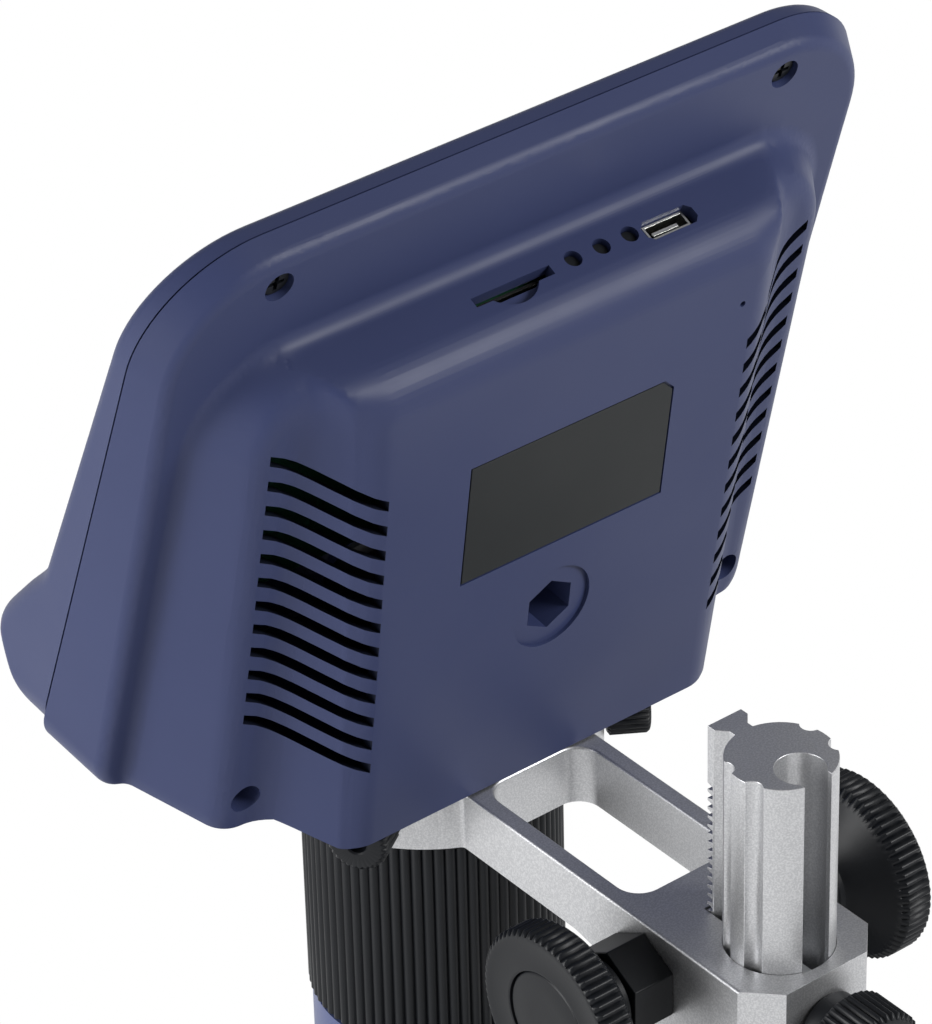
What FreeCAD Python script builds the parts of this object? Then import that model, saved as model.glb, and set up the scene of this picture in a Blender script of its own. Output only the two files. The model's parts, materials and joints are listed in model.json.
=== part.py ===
# Digital microscope with a built-in screen, on a rack-and-pinion stand.
# Lengths in mm. Every piece is drawn from the hexagonal socket on the head's rear face as origin:
# +X to the right of a user who faces the screen, +Y to the column, +Z up. export() then moves it
# to the bench frame, whose origin is the centre of the footprint on the bench.
import math
import os

import FreeCAD, Part

V = FreeCAD.Vector
os.makedirs("parts", exist_ok=True)

# Where the bench frame lies, seen from the hexagonal socket.
FRAME_Y = 18.5
FRAME_Z = 189.0
BENCH = -FRAME_Z

# Head: tilted planes given as (y at z = 0, rise of y per mm of z).
FRONT = (-44.5, 0.457)
PARTING = (-34.5, 0.3839)
BORDER = (-22.9, 0.3019)
SHOULDER = (-10.08, 0.2217)
REAR = (0.0, 0.156)
WALL = 2.2
GROOVE = 0.3
BELLY_Y, BELLY_Z, BELLY_RISE = -40.6, -16.0, -0.441
SLOPE_Y, SLOPE_Z, SLOPE_DEG = -4.42, 61.19, 25.0
HEAD_HALF, HEAD_TOP, HEAD_TOP_R, HEAD_LOW_R = 66.3, 80.5, 19.0, 10.0
CREASE_HALF, CREASE_TOP, CREASE_R = 63.4, 77.7, 18.0

# Vents: an S-shaped slot repeated down each side.
VENT_COUNT, VENT_WIDTH, VENT_PITCH = 12, 1.6, 4.594
VENT_OUT_X, VENT_IN_X, VENT_TOP_Z, VENT_DROP = 50.0, 33.56, 46.74, 11.94
VENT_LEAN = 0.015

# Openings in the sloping top, as (x, distance down the slope).
CARD_X0, CARD_X1, CARD_E0, CARD_E1 = -0.3, 14.0, 5.2, 6.9
PLUNGER_X, PLUNGER_E, PLUNGER_HOLE_R, PLUNGER_R = (-4.4, -9.7, -15.0), 5.8, 1.4, 1.1
USB_X, USB_E, USB_HALF, USB_HIGH = -21.9, 6.6, 4.8, 1.7
BOARD_E0, BOARD_E1 = 3.4, 5.0

# Rear face details.
HEX_AF, HEX_DEEP, HEX_DISH_R = 8.0, 6.5, 7.3
LABEL_X0, LABEL_X1, LABEL_S0, LABEL_S1, LABEL_T = -19.44, 18.39, 13.2, 34.95, 0.4

# Housing screws: where each counterbore meets the skin.
SCREW_TOP, SCREW_LOW = (46.13, -0.64, 72.88), (47.16, -13.19, -21.86)
SCREW_BORE_R, SCREW_HEAD_R, SCREW_HEAD_H, SCREW_SHANK_R = 2.45, 2.1, 1.5, 1.1

# Screen and keys.
GLASS_W, GLASS_H, GLASS_T, GLASS_S = 96.0, 56.0, 1.2, 47.5
APERTURE_W, APERTURE_H = 92.0, 52.5
KEY_X, KEY_Y, KEY_Z, KEY_R, KEY_TRAVEL = (-45.0, -27.0, -9.0, 9.0, 27.0, 45.0), -45.85, 7.65, 3.6, 0.8
KEY_TILT = 45.8
KEY_POST_X, KEY_BOARD_DEEP = (-36.0, -18.0, 18.0, 36.0), 5.2

# Optical barrel.
AXIS_Y = -31.0
NECK_R, BORE_GAP = 19.2, 0.3
RING_TOP, RING_THICK, RING_R = -32.1, 10.33, 27.4
GRIP_TOP, GRIP_LOW, GRIP_R, GRIP_ROOT_R, GRIP_RIBS = -43.75, -87.3, 20.9, 20.3, 72
TUBE_R, TUBE_BORE = 17.0, 14.5
NOSE_R, NOSE_LOW = 20.3, -125.0
SPIGOT_R = 15.8

# Arm, column and focus drive.
ARM_HALF, BLOCK_LOW, BLOCK_END, CHAMFER_Y, CHAMFER_X = 12.65, -50.0, 61.83, 56.73, 7.78
WINDOW_Y0, WINDOW_Y1, WINDOW_HALF, WINDOW_R = -5.2, 30.5, 9.65, 4.0
COLUMN_Y, COLUMN_R, COLUMN_TOP, SLIDE_GAP = 51.49, 8.3, 1.0, 0.1
CHANNEL_Y, CHANNEL_R, CHANNEL_MOUTH = 55.6, 3.85, 5.1
RACK_FRONT, MODULE, PINION_TEETH = 39.1, 0.5, 14
PINION_R = MODULE * PINION_TEETH / 2
KNOB_Y, KNOB_Z = RACK_FRONT + MODULE - PINION_R, -41.1
SHAFT_R, SHAFT_GAP, PINION_BORE = 3.0, 0.08, 4.4
KNOB_R, KNOB_IN, KNOB_OUT, KNOB_RIBS = 15.0, 26.0, 31.5, 60
BUSH_OUT = 20.0
LOCK_Z = -41.0
CLAMP_DEG, CLAMP_Z, CLAMP_R, CLAMP_FACE = 33.0, -37.3, 5.0, 34.6

# Base.
BASE_LENGTH, BASE_WIDTH, BASE_THICK, BASE_CORNER, FOOT_H, FOOT_R = 200.0, 120.0, 10.0, 12.0, 2.0, 7.0
SEAT_DEEP = 3.0


def export(node, shape):
    shape = shape.copy()
    shape.translate(V(0, FRAME_Y, FRAME_Z))
    shape.exportStep("parts/" + node + ".step")
    solids = shape.Solids
    print(node, len(solids), "valid" if shape.isValid() else "INVALID", round(shape.Volume, 1))


def box(x0, x1, y0, y1, z0, z1):
    return Part.makeBox(x1 - x0, y1 - y0, z1 - z0, V(x0, y0, z0))


def rod_z(r, x, y, z0, z1):
    return Part.makeCylinder(r, z1 - z0, V(x, y, z0), V(0, 0, 1))


def rod_x(r, x0, x1, y, z):
    return Part.makeCylinder(r, x1 - x0, V(x0, y, z), V(1, 0, 0))


def tube_z(r_out, r_in, x, y, z0, z1):
    return rod_z(r_out, x, y, z0, z1).cut(rod_z(r_in, x, y, z0 - 1, z1 + 1))


def prism(points, direction):
    wire = Part.makePolygon(points + [points[0]])
    return Part.Face(wire).extrude(direction)


def slab_x(points, x0, x1):
    return prism([V(x0, y, z) for y, z in points], V(x1 - x0, 0, 0))


def rounded_box(half_x, y0, y1, z0, z1, r, x=0.0):
    solid = box(x - half_x, x + half_x, y0, y1, z0, z1)
    edges = [e for e in solid.Edges if abs(e.tangentAt(e.FirstParameter).z) > 0.99]
    return solid.makeFillet(r, edges)


def mirror_x(shape):
    return shape.mirror(V(0, 0, 0), V(1, 0, 0))


def on_plane(shape, plane):
    """Takes (x, depth, height) drawn on a vertical plane to the tilted one."""
    out = shape.copy()
    out.rotate(V(0, 0, 0), V(1, 0, 0), -math.degrees(math.atan(plane[1])))
    out.translate(V(0, plane[0], 0))
    return out


def on_slope(shape):
    """Takes (x, distance down the slope, height above it) to the sloping top."""
    out = shape.copy()
    out.rotate(V(0, 0, 0), V(1, 0, 0), -SLOPE_DEG)
    out.translate(V(0, SLOPE_Y, SLOPE_Z))
    return out


def outline(plane, half_low, z_low, half_top, z_top, r_low, r_top):
    """Rounded trapezoid, symmetric about x = 0, as a wire on a tilted plane."""
    y0, rise = plane
    stretch = math.hypot(1.0, rise)
    corners = [(-half_low, z_low, r_low), (half_low, z_low, r_low),
               (half_top, z_top, r_top), (-half_top, z_top, r_top)]

    def spot(x, s):
        z = s / stretch
        return V(x, y0 + rise * z, z)

    starts, mids, ends = [], [], []
    for i in range(4):
        x, z, r = corners[i]
        before, after = corners[i - 1], corners[(i + 1) % 4]
        s = z * stretch
        ux, us = before[0] - x, before[1] * stretch - s
        vx, vs = after[0] - x, after[1] * stretch - s
        nu, nv = math.hypot(ux, us), math.hypot(vx, vs)
        ux, us, vx, vs = ux / nu, us / nu, vx / nv, vs / nv
        half = math.acos(ux * vx + us * vs) / 2
        bx, bs = ux + vx, us + vs
        nb = math.hypot(bx, bs)
        bx, bs = bx / nb, bs / nb
        reach = r / math.tan(half)
        centre = r / math.sin(half)
        starts.append(spot(x + ux * reach, s + us * reach))
        ends.append(spot(x + vx * reach, s + vs * reach))
        mids.append(spot(x + bx * (centre - r), s + bs * (centre - r)))
    edges = []
    for i in range(4):
        edges.append(Part.Arc(starts[i], mids[i], ends[i]).toShape())
        edges.append(Part.LineSegment(ends[i], starts[(i + 1) % 4]).toShape())
    return Part.Wire(edges)


def loft(*wires):
    return Part.makeLoft(list(wires), True, True)


def soften(shape, radii, pick, label):
    """Fillets the picked edges with the first radius that gives a sound solid."""
    edges = [e for e in shape.Edges if pick(e)]
    for r in radii:
        try:
            out = shape.makeFillet(r, edges)
        except Exception:
            continue
        if out.isValid() and out.Solids and out.Volume > 0:
            print("fillet", label, r, len(edges))
            return out
    print("fillet", label, "left sharp", len(edges))
    return shape


def ribbed(n, r_out, r_root, length, four):
    """Ribbed cylinder along +Z from the origin; four points a rib give square ribs."""
    points = []
    for i in range(n):
        a = 2 * math.pi * i / n
        step = 2 * math.pi / n
        if four:
            places = ((r_root, -0.22), (r_out, -0.14), (r_out, 0.14), (r_root, 0.22))
        else:
            places = ((r_root, -0.5), (r_out, 0.0))
        for r, k in places:
            points.append(V(r * math.cos(a + k * step), r * math.sin(a + k * step), 0))
    return prism(points, V(0, 0, length))


def along(shape, place, axis):
    """Moves a shape drawn along +Z so that it starts at place and runs along axis."""
    out = shape.copy()
    out.Placement = FreeCAD.Placement(place, FreeCAD.Rotation(V(0, 0, 1), axis))
    return out


# The belly is one plane under both halves of the head; everything below it is cut off.
def below_belly(lift):
    y0, y1 = -90.0, 40.0
    z0 = BELLY_Z + lift + BELLY_RISE * (y0 - BELLY_Y)
    z1 = BELLY_Z + lift + BELLY_RISE * (y1 - BELLY_Y)
    return slab_x([(y0, z0), (y1, z1), (y1, -80), (y0, -80)], -90, 90)


def ahead_of_parting():
    """Everything in front of the groove between the two halves of the head."""
    y0 = PARTING[0] + GROOVE
    return slab_x([(y0 - PARTING[1] * 70, -70), (y0 + PARTING[1] * 110, 110), (-110, 110), (-110, -70)], -90, 90)


def screw_axis():
    """Direction in which the four housing screws are driven, square to the parting plane."""
    n = math.hypot(1.0, PARTING[1])
    return V(0, -1 / n, PARTING[1] / n)


INTO = screw_axis()
SCREW_SEATS = ((SCREW_TOP, 2.6, 5.0), (SCREW_LOW, 19.0, 11.0))


# Rear housing: three stepped slabs share the top slope and the belly.
def housing_skin(inset):
    d = inset
    parting = (PARTING[0] + GROOVE - (1 if d else 0), PARTING[1])
    border = (BORDER[0] - d * 1.045, BORDER[1])
    shoulder = (SHOULDER[0] - d * 1.025, SHOULDER[1])
    rear = (REAR[0] - d * 1.012, REAR[1])
    drop = 3.0
    slab = loft(outline(parting, HEAD_HALF - d, -16 - drop, HEAD_HALF - 0.3 - d, HEAD_TOP - d, HEAD_LOW_R, HEAD_TOP_R - d),
                outline(border, CREASE_HALF - d, -21 - drop, CREASE_HALF - 0.2 - d, CREASE_TOP - d, 9, CREASE_R - d))
    step = loft(outline((border[0] - 4, border[1]), 61.0 - d, -26, 61.0 - d, 62.9 - d * 1.1, 10, 16 - d),
                outline(shoulder, 50.9 - d, -32, 52.0 - d, 57.6 - d * 1.1, 8, 12 - d))
    rise = REAR[1]
    fall = math.tan(math.radians(SLOPE_DEG))
    lower = d / math.cos(math.radians(SLOPE_DEG))
    z_start = SLOPE_Z + fall * (SLOPE_Y + 30.0) - lower
    y_end = (rear[0] + rise * (z_start - fall * 30.0)) / (1.0 + rise * fall)
    z_end = z_start - fall * (y_end + 30.0)
    profile = [(-30.0, z_start), (y_end, z_end), (rear[0] - rise * 40, -40.0), (-30.0, -40.0)]
    block = slab_x(profile, -60, 60)
    if not d:
        tip = lambda e: abs(e.tangentAt(e.FirstParameter).x) > 0.99 and abs(e.CenterOfMass.z - z_end) < 0.5
        block = soften(block, (7.7, 6.0), tip, "block top")
    k = 0.57
    wedge = []
    for z, half in ((90.0, 40.4), (-45.0, 35.2)):
        y = REAR[1] * z
        wedge.append([(half - d - 3 * k, y + 3), (half - d + 30 * k, y - 30)])
    sides = []
    for z, pair in ((90.0, wedge[0]), (-45.0, wedge[1])):
        (xa, ya), (xb, yb) = pair
        pts = [V(-xa, ya, z), V(xa, ya, z), V(xb, yb, z), V(-xb, yb, z)]
        sides.append(Part.makePolygon(pts + [pts[0]]))
    block = block.common(loft(*sides))
    return slab, step, block


def ridge(e):
    """True for the rear perimeter edges of a lofted slab."""
    return abs(e.CenterOfMass.y - ridge.y(e.CenterOfMass.z)) < 0.6


def build_housing():
    slab, step, block = housing_skin(0.0)
    ridge.y = lambda z: BORDER[0] + BORDER[1] * z
    slab = soften(slab, (2.5, 2.0, 1.5), ridge, "crease")
    ridge.y = lambda z: SHOULDER[0] + SHOULDER[1] * z
    step = soften(step, (4.5, 4.0, 3.0), ridge, "shoulder")
    sides = lambda e: abs(e.CenterOfMass.x) > 33 and e.CenterOfMass.y > REAR[1] * e.CenterOfMass.z - 9
    lengthwise = lambda e: sides(e) and abs(e.valueAt(e.LastParameter).x - e.valueAt(e.FirstParameter).x) < 8
    flank = lambda e: lengthwise(e) and e.BoundBox.YMax > REAR[1] * e.BoundBox.ZMin - 3 and e.CenterOfMass.z > -39
    block = soften(block, (2.0, 1.5, 1.0), flank, "block flank")
    skin = slab.fuse(step).fuse(block)
    skin = skin.removeSplitter()
    skin = skin.cut([below_belly(0.0), ahead_of_parting()])
    feet = []
    for e in skin.Edges:
        c = e.CenterOfMass
        if e.Length < 6 or c.z < -20:
            continue
        if abs(c.y - (BORDER[0] + BORDER[1] * c.z)) < 0.25 and abs(c.x) < 62 and c.z < 64 and e.BoundBox.ZMax < 66:
            feet.append(e)
    names = [(round(e.CenterOfMass.x, 1), round(e.CenterOfMass.z, 1)) for e in feet]
    print("foot edges", names)
    if feet:
        keys = set(names)
        foot = lambda e: (round(e.CenterOfMass.x, 1), round(e.CenterOfMass.z, 1)) in keys and e.Length >= 6
        skin = soften(skin, (3.0, 2.0, 1.2), foot, "foot")
    return skin


def build_cavity():
    slab, step, block = housing_skin(WALL)
    hollow = slab.fuse(step).fuse(block)
    return hollow.cut(below_belly(WALL))


def vent_band(x_shift, z_shift):
    """One S-shaped slot as an outline in x and z, at the top of the +X column of slots."""
    upper, lower = [], []
    n = 7
    for i in range(n + 1):
        u = i / n
        x = VENT_OUT_X - (VENT_OUT_X - VENT_IN_X) * u
        s = 0.7 * u + 0.3 * (3 * u * u - 2 * u ** 3)
        z = VENT_TOP_Z - VENT_DROP * s
        slope = VENT_DROP * (0.7 + 0.3 * (6 * u - 6 * u * u)) / (VENT_OUT_X - VENT_IN_X)
        half = VENT_WIDTH / 2 * math.hypot(1, slope)
        upper.append((x + x_shift, z + half + z_shift))
        lower.append((x + x_shift, z - half + z_shift))
    return upper + lower[::-1]


def build_vents():
    cuts = []
    for i in range(VENT_COUNT):
        band = vent_band(-VENT_LEAN * VENT_PITCH * i, -VENT_PITCH * i)
        cut = prism([V(x, -15.0, z) for x, z in band], V(0, 30.0, 0))
        cuts.append(cut)
        cuts.append(mirror_x(cut))
    return cuts


skin = build_housing()
cavity = build_cavity()
print("skin", skin.isValid(), round(skin.Volume), "cavity", cavity.isValid(), round(cavity.Volume))

# Bosses for the four screws and the block behind the hexagonal socket stay solid.
bosses = []
bores = []
for (x, y, z), deep, _ in SCREW_SEATS:
    for side in (-1, 1):
        top = V(side * x, y, z)
        boss = Part.makeCylinder(3.9, 34.0, top - INTO * 3.0, INTO)
        bosses.append(boss)
        bores.append(Part.makeCylinder(SCREW_BORE_R, deep + 6.0, top - INTO * 6.0, INTO))
        bores.append(Part.makeCylinder(SCREW_SHANK_R + 0.15, 60.0, top, INTO))
hex_boss = on_plane(Part.makeCylinder(HEX_DISH_R + 0.4, 9.5, V(0, -9.5, 0), V(0, 1, 0)), REAR)
shell = skin.cut(cavity.cut(bosses + [hex_boss]))
hex_points = []
for i in range(6):
    a = math.radians(90 + 60 * i)
    r = HEX_AF / math.sqrt(3)
    hex_points.append(V(r * math.cos(a), -HEX_DEEP, r * math.sin(a)))
hex_cut = on_plane(prism(hex_points, V(0, HEX_DEEP + 3, 0)), REAR)
dish = on_plane(Part.makeCylinder(HEX_DISH_R, 3.0, V(0, -0.6, 0), V(0, 1, 0)), REAR)


def label_shape(gap, y0, y1):
    x0, x1 = LABEL_X0 - gap, LABEL_X1 + gap
    s0, s1 = LABEL_S0 - gap, LABEL_S1 + gap
    clip = 1.9
    pts = [(x0, s0), (x1, s0), (x1, s1), (x0 + clip, s1), (x0, s1 - clip)]
    return on_plane(prism([V(x, y0, s) for x, s in pts], V(0, y1 - y0, 0)), REAR)


def usb_shape(grow, m0, m1):
    a, b, c = USB_HALF + grow, USB_HIGH + grow, 0.9
    pts = [(-a, c - b), (-a + c, -b), (a - c, -b), (a, c - b), (a, b - c), (a - c, b), (c - a, b), (-a, b - c)]
    return on_slope(prism([V(USB_X + x, USB_E + e, m0) for x, e in pts], V(0, 0, m1 - m0)))


cuts = bores + [hex_cut, dish, label_shape(0.25, -0.45, 3.0), usb_shape(0.0, -8.0, 4.0)]
cuts.append(on_slope(box(CARD_X0, CARD_X1, CARD_E0, CARD_E1, -8.0, 4.0)))
thumb = Part.makeCylinder(5.1, 6.0, V(6.9, 4.0, -1.5), V(0, 0, 1))
cuts.append(on_slope(thumb.common(box(0, 14, CARD_E1 - 0.5, 12, -2, 6))))
for x in PLUNGER_X:
    cuts.append(on_slope(Part.makeCylinder(PLUNGER_HOLE_R, 12.0, V(x, PLUNGER_E, -8.0), V(0, 0, 1))))
cuts.append(on_plane(Part.makeCylinder(0.5, 12.0, V(-31.6, -8.0, 43.6), V(0, 1, 0)), REAR))
cuts.append(rod_z(SPIGOT_R + 0.2, 0, AXIS_Y, -60, 0))
cuts += build_vents()
shell = shell.cut(cuts)
shell = shell.removeSplitter()
housing = max(shell.Solids, key=lambda s: s.Volume)
print("housing solids", len(shell.Solids), [round(s.Volume, 1) for s in shell.Solids])
export("rear_housing", housing)

export("label_plate", label_shape(0.0, -0.42, -0.42 + LABEL_T))

# Front bezel: the outline of the head crossed with its side profile, nose included.
forward = (FRONT[0] - 12.0, FRONT[1])
parting_face = (PARTING[0], PARTING[1])
nose_points = [(-36.32, 17.9), (-38.7, 14.75), (-43.0, 10.6), (-45.85, 7.65), (-48.6, 4.75), (-51.0, 1.2), (-51.55, -1.3),
               (-51.0, -4.0), (-49.0, -8.5), (-46.0, -12.6), (-42.8, -15.03)]


def bezel_profile():
    """Side profile of the bezel as a face at x = -80: flat front, smooth nose, belly."""
    at = lambda p: V(-80, p[0], p[1])
    nose = Part.BSplineCurve()
    nose.interpolate(Points=[at(p) for p in nose_points], InitialTangent=V(0, -FRONT[1], -1).normalize(),
                     FinalTangent=V(0, 1, BELLY_RISE).normalize())
    top = 84.0
    back = (-30.0, BELLY_Z + BELLY_RISE * (-30.0 - BELLY_Y))
    corners = [nose_points[-1], back, (-2.25, top), (FRONT[0] + FRONT[1] * top, top), nose_points[0]]
    edges = [nose.toShape()]
    for p, q in zip(corners, corners[1:]):
        edges.append(Part.LineSegment(at(p), at(q)).toShape())
    return Part.Face(Part.Wire(edges)).extrude(V(160, 0, 0))


inner_profile = [(6.0, 84.0), (-3.7, 84.0), (-36.1, 13.1), (-40.9, 9.6), (-47.6, 2.8), (-49.1, 0.1), (-49.3, -0.9),
                 (-48.8, -3.0), (-47.0, -7.4), (-44.2, -11.4), (-42.0, -12.7), (-36.0, -13.9), (-20.0, -13.9)]


def bezel_block(d, side_profile):
    plane = (parting_face[0] + (2.0 if d else 0.0), parting_face[1])
    body = loft(outline(plane, HEAD_HALF - d, -16.2 + d, HEAD_HALF - 0.3 - d, HEAD_TOP - d, HEAD_LOW_R, HEAD_TOP_R - d),
                outline(forward, HEAD_HALF - 1.2 - d, -15 + d, HEAD_HALF - 1.5 - d, HEAD_TOP + 0.6 - d, HEAD_LOW_R,
                        HEAD_TOP_R - 1 - d))
    return body.common(side_profile)


bezel = bezel_block(0.0, bezel_profile())
rim = lambda e: e.CenterOfMass.y < FRONT[0] + FRONT[1] * e.CenterOfMass.z + 1.2 and e.Length > 1.0 and (
    abs(e.CenterOfMass.x) > 40 and abs(e.CenterOfMass.x) < 66 or e.CenterOfMass.z > 76)
bezel = soften(bezel, (3.0, 2.5, 2.0, 1.5, 1.0), rim, "bezel rim")
def on_key(shape, x):
    """Takes a shape drawn about +Z, with the nose surface at z = 0, to a key's place."""
    out = shape.copy()
    out.rotate(V(0, 0, 0), V(1, 0, 0), KEY_TILT)
    out.translate(V(x, KEY_Y, KEY_Z))
    return out


bezel_bosses = []
pilots = []
for (x, y, z), deep, reach in SCREW_SEATS:
    for side in (-1, 1):
        top = V(side * x, y, z)
        boss = Part.makeCylinder(3.4, 60.0, top, INTO)
        bezel_bosses.append(boss)
        pilots.append(Part.makeCylinder(SCREW_SHANK_R + 0.05, deep + SCREW_HEAD_H + reach, top, INTO))
for x in KEY_POST_X:
    post = Part.makeCylinder(1.6, KEY_BOARD_DEEP - 0.05 - WALL / 2, V(0, 0, 0.05 - KEY_BOARD_DEEP), V(0, 0, 1))
    bezel_bosses.append(on_key(post, x))
bezel = bezel.cut(bezel_block(WALL, slab_x(inner_profile, -80, 80)).cut(bezel_bosses))
window = on_plane(box(-APERTURE_W / 2, APERTURE_W / 2, -3, 8, GLASS_S - APERTURE_H / 2, GLASS_S + APERTURE_H / 2), FRONT)
recess = on_plane(box(-GLASS_W / 2 - 0.15, GLASS_W / 2 + 0.15, -4, GLASS_T + 0.1,
                      GLASS_S - GLASS_H / 2 - 0.15, GLASS_S + GLASS_H / 2 + 0.15), FRONT)
cuts = pilots + [window, recess, rod_z(SPIGOT_R + 0.2, 0, AXIS_Y, -60, 0)]


for x in KEY_X:
    cuts.append(on_key(Part.makeCylinder(KEY_R + 0.3, 8.0, V(0, 0, -4.0), V(0, 0, 1)), x))
bezel = bezel.cut(cuts)
bezel = bezel.removeSplitter()
print("bezel solids", len(bezel.Solids), [round(s.Volume, 1) for s in bezel.Solids])
export("front_bezel", max(bezel.Solids, key=lambda s: s.Volume))

export("screen_glass", on_plane(box(-GLASS_W / 2, GLASS_W / 2, 0.08, 0.08 + GLASS_T,
                                    GLASS_S - GLASS_H / 2, GLASS_S + GLASS_H / 2), FRONT))
panel = box(-49, 49, 2.25, 5.25, GLASS_S - 28.3, GLASS_S + 28.3)
export("lcd_panel", on_plane(panel, FRONT))

for i, x in enumerate(KEY_X):
    cap = Part.makeCylinder(KEY_R, 3.6, V(0, 0, -2.7), V(0, 0, 1))
    cap = soften(cap, (0.5,), lambda e: e.CenterOfMass.z > 0.5 and e.Length > 10, "key")
    flange = Part.makeCylinder(KEY_R + 1.0, 0.7, V(0, 0, -3.3), V(0, 0, 1))
    export("key_%d" % (i + 1), on_key(cap.fuse(flange), x))
key_board = on_key(box(-52, 52, -4.2, 4.2, -KEY_BOARD_DEEP - 1.2, -KEY_BOARD_DEEP), 0)
export("key_board", key_board)

# Main board and what stands on it, square to the sloping top.
board = box(-46, 46, BOARD_E0, BOARD_E1, -57, -5.2)
chips = [box(-34, -22, BOARD_E1, 6.2, -40, -28), box(-8, 8, BOARD_E1, 6.4, -37, -21), box(18, 30, BOARD_E1, 6.0, -46, -38)]
for x in PLUNGER_X:
    chips.append(box(x - 1.8, x + 1.8, BOARD_E1, 7.0, -8.4, -5.4))
export("main_board", on_slope(board.fuse(chips)))
usb = box(USB_X - 3.8, USB_X + 3.8, BOARD_E1 + 0.02, BOARD_E1 + 2.72, -8.0, -1.2)
usb = usb.cut(box(USB_X - 3.4, USB_X + 3.4, BOARD_E1 + 0.4, BOARD_E1 + 2.34, -6.5, 0))
usb = usb.fuse(box(USB_X - 2.4, USB_X + 2.4, BOARD_E1 + 1.1, BOARD_E1 + 1.7, -7.0, -2.0))
export("usb_port", on_slope(usb))
card = box(CARD_X0 - 0.4, CARD_X1 + 0.4, BOARD_E1 + 0.02, BOARD_E1 + 2.1, -19.0, -3.2)
card = card.cut(box(CARD_X0 + 1.3, CARD_X1 - 1.3, BOARD_E1 + 0.5, BOARD_E1 + 1.6, -17.5, 0))
export("card_socket", on_slope(card))
for i, x in enumerate(PLUNGER_X):
    pin = Part.makeCylinder(PLUNGER_R, 3.6, V(x, PLUNGER_E, -4.5), V(0, 0, 1))
    collar = Part.makeCylinder(PLUNGER_R + 0.9, 0.7, V(x, PLUNGER_E, -3.4), V(0, 0, 1))
    export("plunger_%d" % (i + 1), on_slope(pin.fuse(collar)))

# Housing screws, four alike, with cross recesses.
screws = []
for (x, y, z), deep, reach in SCREW_SEATS:
    for side in (-1, 1):
        head = Part.makeCylinder(SCREW_HEAD_R, SCREW_HEAD_H, V(0, 0, 0), V(0, 0, 1))
        for a in (0, 1):
            w, h = (0.35, 1.4) if a else (1.4, 0.35)
            head = head.cut(box(-w, w, -h, h, -0.5, 0.9))
        shank = Part.makeCylinder(SCREW_SHANK_R, reach - 0.2, V(0, 0, SCREW_HEAD_H), V(0, 0, 1))
        screw = head.fuse(shank)
        start = V(side * x, y, z) + INTO * (deep - SCREW_HEAD_H - 0.02)
        screws.append(along(screw, start, INTO))
export("housing_screws", Part.Compound(screws))

# Optical barrel: spigot in the head, neck in the clamp ring, seat for the focus ring.
neck = rod_z(NECK_R, 0, AXIS_Y, GRIP_TOP + 0.35, 0)
y0, y1 = -90.0, 40.0
over = slab_x([(y0, BELLY_Z - 0.05 + BELLY_RISE * (y0 - BELLY_Y)), (y1, BELLY_Z - 0.05 + BELLY_RISE * (y1 - BELLY_Y)),
               (y1, 60), (y0, 60)], -60, 60)
neck = neck.cut(over)
barrel = neck.fuse([rod_z(SPIGOT_R, 0, AXIS_Y, -50, -12.5), rod_z(TUBE_R, 0, AXIS_Y, GRIP_LOW - 8.0, GRIP_TOP + 1)])
barrel = barrel.cut([rod_z(13.2, 0, AXIS_Y, -37.0, 0), rod_z(TUBE_BORE, 0, AXIS_Y, GRIP_LOW - 20, -46.0),
                     rod_z(9.0, 0, AXIS_Y, -60, 0)])
export("barrel_body", barrel.removeSplitter())

grip = ribbed(GRIP_RIBS, GRIP_R, GRIP_ROOT_R, GRIP_TOP - 1.6 - GRIP_LOW, True)
grip.translate(V(0, AXIS_Y, GRIP_LOW))
grip = grip.fuse(rod_z(GRIP_ROOT_R + 0.2, 0, AXIS_Y, GRIP_TOP - 1.7, GRIP_TOP))
grip = grip.cut(rod_z(TUBE_R + 0.3, 0, AXIS_Y, -100, 0))
export("focus_ring", grip)

nose = rod_z(NOSE_R, 0, AXIS_Y, NOSE_LOW, GRIP_LOW - 0.35)
nose = soften(nose, (1.5,), lambda e: abs(e.CenterOfMass.z - NOSE_LOW) < 0.1 and e.Length > 50, "nose")
nose = nose.cut([rod_z(TUBE_R + 0.02, 0, AXIS_Y, GRIP_LOW - 8.0, 0), rod_z(15.2, 0, AXIS_Y, NOSE_LOW + 6.0, -90),
                 rod_z(18.2, 0, AXIS_Y, NOSE_LOW - 1, NOSE_LOW + 3.0), rod_z(10.3, 0, AXIS_Y, NOSE_LOW - 1, -90)])
export("lower_barrel", nose)
lights = tube_z(18.0, 11.0, 0, AXIS_Y, NOSE_LOW + 1.8, NOSE_LOW + 2.98)
leds = []
for i in range(8):
    a = 2 * math.pi * (i + 0.5) / 8
    leds.append(rod_z(2.0, 14.5 * math.cos(a), AXIS_Y + 14.5 * math.sin(a), NOSE_LOW + 0.6, NOSE_LOW + 1.9))
export("led_ring", lights.fuse(leds))
export("end_window", rod_z(10.25, 0, AXIS_Y, NOSE_LOW + 3.2, NOSE_LOW + 5.2))

cell = tube_z(14.2, 10.02, 0, AXIS_Y, -80.0, -62.0).fuse(tube_z(14.2, 8.5, 0, AXIS_Y, -72.0, -70.5))
export("lens_cell", cell)
lens = rod_z(10.0, 0, AXIS_Y, -76.0, -72.02)
dome = Part.makeSphere(22.0, V(0, AXIS_Y, -76.0 + 19.6))
lens = lens.fuse(dome.common(rod_z(10.0, 0, AXIS_Y, -79.5, -75.9)))
export("objective_lens", lens.removeSplitter())
sensor = rod_z(13.0, 0, AXIS_Y, -36.98, -35.6).fuse(box(-5, 5, AXIS_Y - 4, AXIS_Y + 4, -38.2, -36.9))
export("sensor_board", sensor)

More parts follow.
